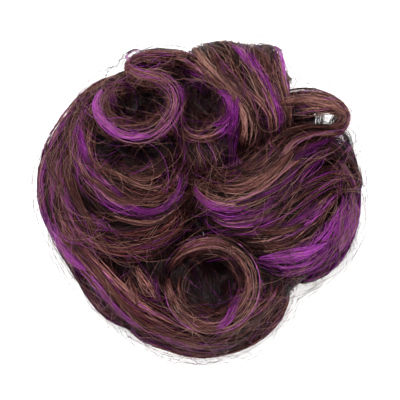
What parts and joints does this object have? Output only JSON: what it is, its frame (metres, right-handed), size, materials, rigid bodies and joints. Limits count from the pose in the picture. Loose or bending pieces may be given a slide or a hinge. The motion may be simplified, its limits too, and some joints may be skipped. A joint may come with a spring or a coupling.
{
  "type": "top knot hairpiece",
  "caption": "Messy bun hairpiece: curled locks of dark brown and purple hair sewn round an elastic ring that stretches over the wearer's own bun.",
  "frame": {"origin": "bottom centre of the bounding box, on the surface that the hairpiece lies on with its elastic ring down", "axes": "+Z out of the front of the hairpiece, away from the head; +Y towards the top of the head; +X to the right in the front view"},
  "size_m": [0.148, 0.1455, 0.0486],
  "materials": {
    "elastic": "black knitted elastic",
    "hair": "glossy synthetic hair, dark brown with auburn and purple strands"
  },
  "bodies": {
    "root": {"elastic_band": "elastic", "weft_ring": "hair", "back_loop_01": "hair", "back_loop_02": "hair", "back_loop_03": "hair", "back_loop_04": "hair", "back_loop_05": "hair", "back_loop_06": "hair", "back_loop_07": "hair", "back_loop_08": "hair", "back_loop_09": "hair", "back_loop_10": "hair", "back_loop_11": "hair", "back_loop_12": "hair", "crown_curl": "hair", "lower_curl": "hair", "right_loop": "hair", "top_right_lock": "hair", "top_left_lock": "hair", "right_sweep_upper": "hair", "left_sweep_inner": "hair", "right_sweep_middle": "hair", "left_sweep_outer": "hair", "right_sweep_lower": "hair", "top_curl": "hair", "left_heart_lock": "hair", "top_heart_lock": "hair", "left_shoulder_lock": "hair", "bottom_sweep": "hair", "right_fan": "hair", "lower_left_lock": "hair", "lower_heart_lock": "hair", "lower_right_lock": "hair", "right_rim_lock": "hair", "top_right_tuft": "hair", "bottom_left_lock": "hair", "bottom_rim_lock": "hair"}
  },
  "joints": []
}
